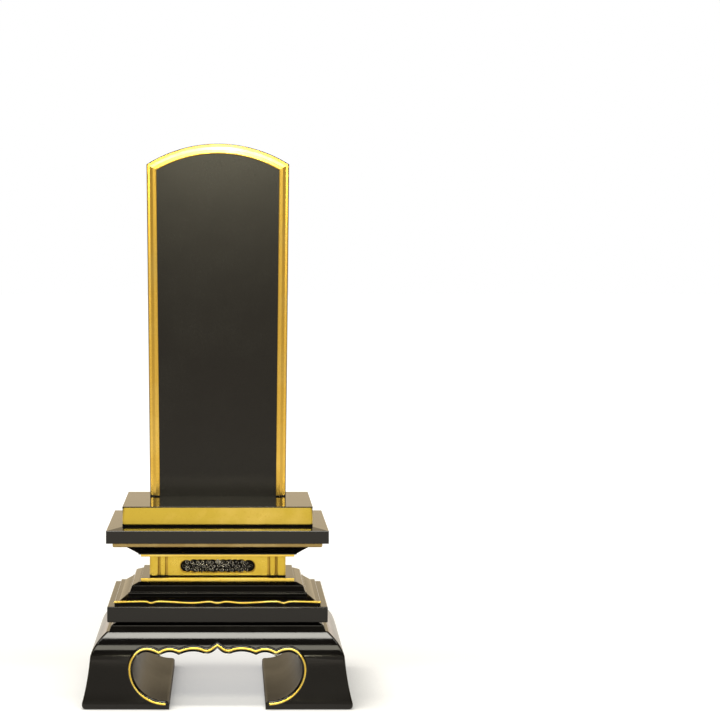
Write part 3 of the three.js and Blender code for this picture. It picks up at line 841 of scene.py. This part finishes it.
def scrollTree():
    # spiral stems on the points, each turned by its own angle, thick to thin
    tree, given, result = newTree("scrollwork", "GeometryNodeTree", {
        "Places": "Geometry", "Scroll Radius": "Float", "Core Radius": "Float",
        "Turns": "Float", "Stem": "Float", "Tip": "Float", "Seed": "Int",
        "Finish": "Material"}, {"Scrolls": "Geometry"})
    new, link = tree.nodes.new, tree.links.new
    spiral = new("GeometryNodeCurveSpiral")
    spiral.inputs["Resolution"].default_value = 18
    spiral.inputs["Height"].default_value = 0.0
    link(given["Core Radius"], spiral.inputs["Start Radius"])
    link(given["Scroll Radius"], spiral.inputs["End Radius"])
    link(given["Turns"], spiral.inputs["Rotations"])
    upright = new("GeometryNodeTransform")
    upright.inputs["Rotation"].default_value = (pi / 2, 0, 0)
    link(spiral.outputs["Curve"], upright.inputs["Geometry"])
    turn = new("FunctionNodeRandomValue")
    turn.data_type = "FLOAT_VECTOR"
    turn.inputs["Min"].default_value = (-carving["tilt"], 0.0, -carving["tilt"])
    turn.inputs["Max"].default_value = (carving["tilt"], 6.28, carving["tilt"])
    link(given["Seed"], turn.inputs["Seed"])
    size = new("FunctionNodeRandomValue")
    size.data_type = "FLOAT"
    size.inputs[2].default_value = carving["smallest"]
    size.inputs[3].default_value = carving["largest"]
    link(given["Seed"], size.inputs["Seed"])
    spread = new("GeometryNodeInstanceOnPoints")
    link(given["Places"], spread.inputs["Points"])
    link(upright.outputs["Geometry"], spread.inputs["Instance"])
    link(turn.outputs["Value"], spread.inputs["Rotation"])
    link(size.outputs[1], spread.inputs["Scale"])
    real = new("GeometryNodeRealizeInstances")
    link(spread.outputs["Instances"], real.inputs["Geometry"])
    taper = new("ShaderNodeMapRange")
    link(new("GeometryNodeSplineParameter").outputs["Factor"], taper.inputs["Value"])
    link(given["Tip"], taper.inputs["To Max"])
    link(given["Stem"], taper.inputs["To Min"])
    thick = new("GeometryNodeSetCurveRadius")
    link(real.outputs["Geometry"], thick.inputs["Curve"])
    link(taper.outputs["Result"], thick.inputs["Radius"])
    width = new("GeometryNodeInputRadius").outputs["Radius"]
    link(rodInto(tree, thick.outputs["Curve"], 1.0, 8, width, given["Finish"]), result["Scrolls"])
    return tree


def buildScrollwork():
    bottom, top = panelLow.z + inset["marginBelow"], panelHigh.z - inset["marginAbove"]
    frontY, middleZ, last = carvingLow.y, (bottom + top) / 2, carving["perRow"] - 1
    places = []
    for row, shift in carving["rowShift"].items():
        for i in range(carving["perRow"]):
            places.append(((i / last - 0.5) * carving["rowLength"] + shift,
                           frontY + carving["depth"], middleZ + row * carving["rowRise"]))
    for x in (-carving["ends"], carving["ends"]):
        places.append((x, frontY + carving["endDepth"], middleZ))
    places.append((0.0, frontY + carving["crownDepth"], middleZ + carving["crownRise"]))
    piece = runTree("carving_scrolls", scrollTree(), places, [], {
        "Scroll Radius": carving["scroll"] * mm, "Core Radius": carving["core"] * mm,
        "Turns": carving["turns"], "Stem": carving["stem"] * mm, "Tip": carving["tip"] * mm,
        "Seed": carving["seed"], "Finish": carvedLacquer})
    stand(piece, "pedestal")


buildScrollwork()
print("waist done")

flare = {
    "profile": ((4.9, 0, 0), (4.9, 0.35, 0.15), (3.4, 1.5, 1.4), (0.5, 3.6, 0.9), (0, 3.75, 0.2),
                (0, 4.2, 0)),
}
tierPiece("flare", "flare_moulding", roundedProfile(flare["profile"]), blackLacquer)

fillet = {"arris": 0.15, "foot": 0.8}
# the fillet's gilt is darkened: painted shade under the slab
tierPiece("fillet", "fillet_board",
          boardProfile("fillet_board", fillet["arris"], fillet["foot"]), brownGilt)

upperSlab = {
    # square below, a small chamfer above and a top that falls a little towards the edge
    "profile": ((0.4, 0, 0), (0, 0, 0.2), (0, 4.68, 0.05), (0.12, 4.8, 0.05), (5.9, 5.6, 0),
                (7.2, 5.6, 0), (8.0, 5.3, 0)),
}
tierPiece("slab_upper", "upper_slab", roundedProfile(upperSlab["profile"], 3), blackLacquer)

step = {"weld": 0.005, "bevel": 0.16, "plinthBack": 0.8, "boardBack": 0.3}


def mortisedTier(name, node, material, frontBack=0.0):
    # copy of the node with its mortise, edges softened, its front edge moved back a little
    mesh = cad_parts[node].data.copy()
    mesh.name = name
    frontY = nodeBox(node)[0].y
    for vertex in mesh.vertices:
        if vertex.co.y < (frontY + 0.01) * mm:
            vertex.co.y += frontBack * mm
    piece = newObject(name, mesh)
    mesh.materials.clear()
    mesh.materials.append(material)
    weld = piece.modifiers.new("weld", "WELD")
    weld.merge_threshold = step["weld"] * mm
    flat = piece.modifiers.new("flat", "DECIMATE")
    flat.decimate_type = "DISSOLVE"
    flat.angle_limit = radians(1)
    addBevel(piece, step["bevel"], 40)
    result = appliedMesh(piece)
    piece.modifiers.clear()
    piece.data = result
    shadeByAngle(result)
    evenNormals(piece)
    stand(piece, "pedestal", node)


# the recessed plinth gets the darker lacquer: painted shade
mortisedTier("step_plinth", "step_foot", dullShadedLacquer, step["plinthBack"])
mortisedTier("step_core", "step_block", blackLacquer)
mortisedTier("step_board", "step_top", blackLacquer, step["boardBack"])

stepMoulding = {
    "drop": 0.36, "wider": 0.4, "endRadius": 0.7, "endFall": 3.2, "endLimit": 0.6,
    "profile": ((0.3, 0, 0), (0.02, 0.3, 0.3), (0.0, 2.4, 1.6), (0.05, 5.2, 1.0), (0.1, 6.5, 0),
                (1.6, 6.5, 0)),
}


def buildStepMoulding():
    # fullest below the middle, rolled in towards the top and round both ends
    low, high = nodeBox("step_moulding")
    look, radius = stepMoulding, stepMoulding["endRadius"]
    rings = []
    for inwards, z in roundedProfile(look["profile"], 8):
        front, back, height = low.y + inwards, high.y, low.z - look["drop"] + z
        aside = look["wider"] - min(inwards, look["endLimit"]) * look["endFall"]
        left, right = low.x - aside, high.x + aside
        line = softenLine([(left, back), (left, front), (right, front), (right, back)],
                          [0, radius, radius, 0], 8, True)
        rings.append([(x, y, height) for x, y in line])
    stand(loftPiece("gilt_step_front", rings, stepGold), "pedestal", "step_moulding")


buildStepMoulding()
print("step done")

tablet = {
    "bottomWidth": 52.9, "topWidth": 55.1, "height": 136.75, "archRise": 7.9, "arcSteps": 72,
    "boardEdge": 0.4, "edgeInset": 0.25, "frameWidth": 3.6,
}
boardLow, boardHigh = nodeBox("tablet_board")
tabletZ = nodeBox("step_top")[1].z
halfBottom, halfTop = tablet["bottomWidth"] / 2, tablet["topWidth"] / 2
archRadius = (halfTop ** 2 + tablet["archRise"] ** 2) / (2 * tablet["archRise"])
archCentreZ = tabletZ + tablet["height"] - archRadius
sideTopZ = tabletZ + tablet["height"] - tablet["archRise"]


def sideX(z, inwards):
    rise = (z - tabletZ) / (sideTopZ - tabletZ)
    return halfBottom + (halfTop - halfBottom) * rise - inwards


def archCorner(inwards):
    z = sideTopZ
    for _ in range(8):
        z = archCentreZ + sqrt((archRadius - inwards) ** 2 - sideX(z, inwards) ** 2)
    return sideX(z, inwards), z


def archPoint(inwards, along):
    # along runs from -1 at the left corner to 1 at the right one
    cornerX, cornerZ = archCorner(inwards)
    turn = along * atan2(cornerX, cornerZ - archCentreZ)
    radius = archRadius - inwards
    return radius * sin(turn), archCentreZ + radius * cos(turn)


def tabletOutline(inwards):
    count = tablet["arcSteps"]
    foot = sideX(tabletZ, inwards)
    return [(-foot, tabletZ), (foot, tabletZ)] + [archPoint(inwards, 1 - 2 * i / count)
                                                  for i in range(count + 1)]


def buildBoard():
    edge = tablet["boardEdge"]
    section = softenLine([(edge * 2, boardLow.y), (0, boardLow.y), (0, boardHigh.y),
                          (edge * 2, boardHigh.y)], [0, edge, edge, 0], 5)
    rings = [[(x, y, z) for x, z in tabletOutline(inwards)] for inwards, y in section]
    stand(loftPiece("arched_board", rings, panelLacquer), "tablet", "tablet_board")


buildBoard()

tenon = {"halfWidth": 14.0, "setIn": 2.35, "lead": 0.6, "intoBoard": 1.0, "hipRadius": 0.3}


def buildTenon():
    half, setIn, lead = tenon["halfWidth"], tenon["setIn"], tenon["lead"]
    rings = [roundedRing(inwards - half, half - inwards, boardLow.y + setIn + inwards,
                         boardHigh.y - setIn - inwards, z, tenon["hipRadius"])
             for inwards, z in ((lead, boardLow.z), (0, boardLow.z + lead),
                                (0, tabletZ + tenon["intoBoard"]))]
    stand(loftPiece("tenon", rings, panelLacquer), "tablet")


buildTenon()

bareFace = {"underFrame": 0.15, "arris": 0.12}


def buildFace():
    low, high = nodeBox("tablet_face")
    inwards = tablet["edgeInset"] + tablet["frameWidth"] - bareFace["underFrame"]
    arris = bareFace["arris"]
    rings = [[(x, y, z) for x, z in tabletOutline(inwards + extra)]
             for extra, y in ((arris, low.y), (0, low.y + arris), (0, high.y))]
    stand(loftPiece("bare_face", rings, panelLacquer), "tablet", "tablet_face")


buildFace()

rail = {
    # distance in from the frame's outer edge, height over the board, rounding
    "section": ((0, 0, 0), (0, 0.6, 0.12), (0.2, 0.8, 0.15), (1.0, 0.8, 0.02),
                (2.15, 1.72, 0.02), (2.2, 1.73, 0.01), (3.2, 1.8, 0.2), (3.6, 1.68, 0.12),
                (3.6, 0, 0)),
    "shading": 18, "mitreGap": 0.03, "footGap": 0.5,
}
railSection = [(tablet["edgeInset"] + across, boardLow.y - up)
               for across, up in roundedProfile(rail["section"], 4)]


def railPiece(name, node, rings):
    piece = loftPiece(name, rings, frameGold)
    shadeByAngle(piece.data, rail["shading"])
    stand(piece, "tablet", node)


def buildStile(name, node, sign):
    foot, head = [], []
    for inwards, y in railSection:
        for ring, z in ((foot, tabletZ + rail["footGap"]),
                        (head, archCorner(inwards)[1] - rail["mitreGap"])):
            ring.append((sign * sideX(z, inwards), y, z))
    railPiece(name, node, [foot, head])


def buildArch():
    rings = []
    for i in range(tablet["arcSteps"] + 1):
        ring = []
        for inwards, y in railSection:
            x, z = archPoint(inwards, 2 * i / tablet["arcSteps"] - 1)
            ring.append((x, y, z))
        rings.append(ring)
    railPiece("rail_arch", "tablet_arch", rings)


buildStile("rail_left", "tablet_stile_left", -1)
buildStile("rail_right", "tablet_stile_right", 1)
buildArch()
print("tablet done")

studio = {
    "floorReach": 6000, "floorDrop": 0.05, "floorColour": (0.58, 0.58, 0.58),
    # glow of the floor as the camera sees it, from near the object outwards
    "glowNear": 0.52, "glowFar": 1.0, "glowFrom": 0.12, "glowTo": 0.6,
    # share of it that the lacquer mirrors, in front of the object and behind it
    "glowInGloss": 0.38, "glowBehind": 0.95, "behindFrom": 0.1, "behindTo": 0.6,
    "mirroredGlow": (1.0, 0.86, 0.73),
    "shadowReach": 0.02, "shadowFrom": (-0.5, -0.5, 0.7071), "shadowDepth": 0.5,
    "shadowOpen": (0.35, 0.95),
    # walls round the object, from the front (0) to the back (1)
    "walls": ((0.0, (0.50, 0.46, 0.38)), (0.08, (0.54, 0.49, 0.40)), (0.2, (0.45, 0.41, 0.33)),
              (0.45, (0.45, 0.40, 0.31)), (0.75, (0.88, 0.74, 0.52)), (1.0, (0.98, 0.79, 0.51))),
    # their brightness with the height, which falls sooner in front
    "fade": ((0.0, (1, 1, 1)), (0.4, (1, 1, 1)), (0.56, (0.22, 0.22, 0.22)),
             (1.0, (0.035, 0.035, 0.035))),
    "fadeSooner": 0.22, "fadeTurn": 0.3,
    "lamps": {
        # name: radiance, size, place, aimed at, colour
        "above": (14.0, (1.1, 0.13), (0.0, -0.165, 1.0), (0, -0.165, 0), (1.0, 0.97, 0.88)),
        "aboveBack": (12.8, (0.25, 0.10), (0.0, -0.05, 1.0), (0, -0.05, 0), (1.0, 0.97, 0.88)),
        "aboveFront": (12.8, (0.25, 0.09), (0.0, -0.245, 1.0), (0, -0.245, 0),
                       (1.0, 0.97, 0.88)),
        "front": (5.0, (1.1, 0.26), (0.0, -0.73, 0.80), (0, -0.02, 0.05), (1.0, 0.95, 0.78)),
        "low": (38.0, (0.14, 0.1), (0.0, -1.0, 0.365), (0, 0, 0.2), (1.0, 0.93, 0.66)),
    },
}


def shadowInto(tree):
    # soft shadow on the floor close to the foot, fullest on the side away from shadowFrom
    shade = tree.nodes.new("ShaderNodeAmbientOcclusion")
    shade.samples = 12
    feed(tree, shade.inputs["Distance"], studio["shadowReach"])
    towards = tree.nodes.new("ShaderNodeCombineXYZ")
    for label, part in zip("XYZ", studio["shadowFrom"]):
        feed(tree, towards.inputs[label], part)
    feed(tree, shade.inputs["Normal"], towards.outputs["Vector"])
    return mapInto(tree, shade.outputs["AO"], *studio["shadowOpen"], 1.0 - studio["shadowDepth"],
                   0.0)


def buildFloor():
    reach, z = studio["floorReach"], -studio["floorDrop"]
    material, tree, shader = newMaterial("paleFloor")
    floor = meshPiece("floor", [(-reach, -reach, z), (reach, -reach, z), (reach, reach, z),
                                (-reach, reach, z)], [(0, 1, 2, 3)], material)
    feed(tree, shader.inputs["Roughness"], 0.7)
    feed(tree, shader.inputs["Specular IOR Level"], 0.0)
    ray = tree.nodes.new("ShaderNodeLightPath").outputs
    place = tree.nodes.new("ShaderNodeTexCoord").outputs["Object"]
    split = tree.nodes.new("ShaderNodeSeparateXYZ")
    feed(tree, split.inputs["Vector"], place)
    behind = mapInto(tree, split.outputs["Y"], studio["behindFrom"], studio["behindTo"],
                     studio["glowInGloss"], studio["glowBehind"])
    mirroredRay = mathInto(tree, "ADD", ray["Is Glossy Ray"], ray["Is Transmission Ray"], True)
    seen = mathInto(tree, "ADD", ray["Is Camera Ray"],
                    mathInto(tree, "MULTIPLY", mirroredRay, behind), True)
    away = tree.nodes.new("ShaderNodeVectorMath")
    away.operation = "LENGTH"
    feed(tree, away.inputs[0], place)
    glow = mapInto(tree, away.outputs["Value"], studio["glowFrom"], studio["glowTo"],
                   studio["glowNear"], studio["glowFar"])
    lost = mathInto(tree, "MULTIPLY", shadowInto(tree), ray["Is Camera Ray"])
    left = mathInto(tree, "SUBTRACT", 1.0, lost)
    feed(tree, shader.inputs["Emission Color"],
         mixInto(tree, ray["Is Camera Ray"], studio["mirroredGlow"], (1.0, 1.0, 1.0)))
    feed(tree, shader.inputs["Emission Strength"],
         mathInto(tree, "MULTIPLY", mathInto(tree, "MULTIPLY", seen, glow), left))
    feed(tree, shader.inputs["Base Color"],
         mixInto(tree, left, (0.0, 0.0, 0.0), studio["floorColour"]))


def rampInto(tree, value, stops):
    ramp = tree.nodes.new("ShaderNodeValToRGB")
    while len(ramp.color_ramp.elements) < len(stops):
        ramp.color_ramp.elements.new(0.5)
    for element, (position, colour) in zip(ramp.color_ramp.elements, stops):
        element.position = position
        element.color = (*colour, 1.0)
    feed(tree, ramp.inputs["Fac"], value)
    return ramp.outputs["Color"]


def buildWorld():
    # pale backdrop behind the object, a dimmer room in front of it, dark overhead
    world = bpy.data.worlds.new("studio")
    scene.world = world
    world.use_nodes = True
    tree = world.node_tree
    ray = tree.nodes.new("ShaderNodeLightPath")
    direction = tree.nodes.new("ShaderNodeTexCoord")
    split = tree.nodes.new("ShaderNodeSeparateXYZ")
    feed(tree, split.inputs["Vector"], direction.outputs["Generated"])
    backwards = split.outputs["Y"]
    walls = rampInto(tree, mapInto(tree, backwards, -1.0, 1.0, 0.0, 1.0), studio["walls"])
    sooner = mapInto(tree, backwards, -studio["fadeTurn"], studio["fadeTurn"],
                     studio["fadeSooner"], 0.0)
    fade = rampInto(tree, mathInto(tree, "ADD", split.outputs["Z"], sooner), studio["fade"])
    room = mixInto(tree, 1.0, walls, fade, "MULTIPLY")
    back = tree.nodes["Background"]
    feed(tree, back.inputs["Color"],
         mixInto(tree, ray.outputs["Is Camera Ray"], room, (1.0, 1.0, 1.0)))
    feed(tree, back.inputs["Strength"], 1.0)


def addLamp(name, radiance, size, place, target, colour):
    lamp = bpy.data.lights.new(name, "AREA")
    lamp.shape = "RECTANGLE"
    lamp.size, lamp.size_y = size
    lamp.energy = radiance * pi * size[0] * size[1]
    lamp.color = colour
    holder = newObject(name, lamp)
    holder.location = place
    holder.rotation_euler = (Vector(target) - Vector(place)).to_track_quat("-Z", "Y").to_euler()
    holder.visible_camera = False


buildFloor()
buildWorld()
for name, values in studio["lamps"].items():
    addLamp(name, *values)

view = {"lens": 90.2, "sensor": 36.0, "tilt": 3.49, "place": (0.0038, -0.6911, 0.1692),
        "shift": 0.1838, "nearest": 0.01}
cameraData = bpy.data.cameras.new("camera")
cameraData.lens = view["lens"]
cameraData.sensor_width = view["sensor"]
cameraData.shift_x = view["shift"]
cameraData.clip_start = view["nearest"]
camera = newObject("camera", cameraData)
camera.location = view["place"]
camera.rotation_euler = (radians(90 - view["tilt"]), 0, 0)
scene.camera = camera
scene.view_settings.view_transform = "Standard"
